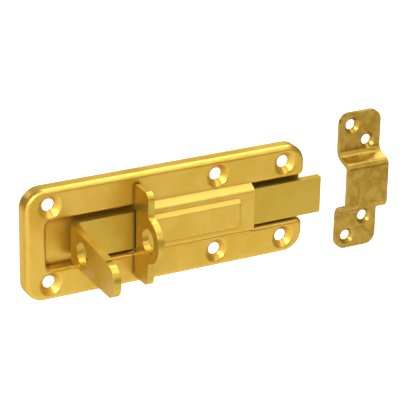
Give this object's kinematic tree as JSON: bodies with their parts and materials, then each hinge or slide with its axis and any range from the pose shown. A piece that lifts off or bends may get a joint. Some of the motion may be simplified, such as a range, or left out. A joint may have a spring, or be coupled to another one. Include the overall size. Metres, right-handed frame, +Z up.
{
  "type": "padbolt",
  "caption": "Surface-mounted sliding padbolt: pressed plate with ribbed guide, flat bolt folded into a padlock handle, upright padlock staple and separate hat-shaped keeper.",
  "frame": {"origin": "on the door's surface, straight behind the middle of the staple's padlock eye", "axes": "+X along the bolt towards the keeper, +Y into the door (so -Y points out of it), +Z up with the bolt lying level"},
  "size_m": [0.1571, 0.0484, 0.0586],
  "materials": {
    "base_plate": "yellow-passivated zinc plate on pressed sheet steel, satin",
    "padlock_staple": "yellow-passivated zinc plate on stamped sheet steel, satin",
    "sliding_bolt": "yellow-passivated zinc plate on folded steel bar, satin",
    "keeper": "yellow-passivated zinc plate on pressed sheet steel, darker and mottled"
  },
  "bodies": {
    "plate": {"base_plate": "base_plate", "padlock_staple": "padlock_staple", "keeper": "keeper"},
    "bolt": {"sliding_bolt": "sliding_bolt"}
  },
  "joints": [
    {"name": "bolt_slide", "type": "slide", "parent": "plate", "child": "bolt", "axis": [1, 0, 0], "range_m": [-0.01, 0.0225]}
  ]
}
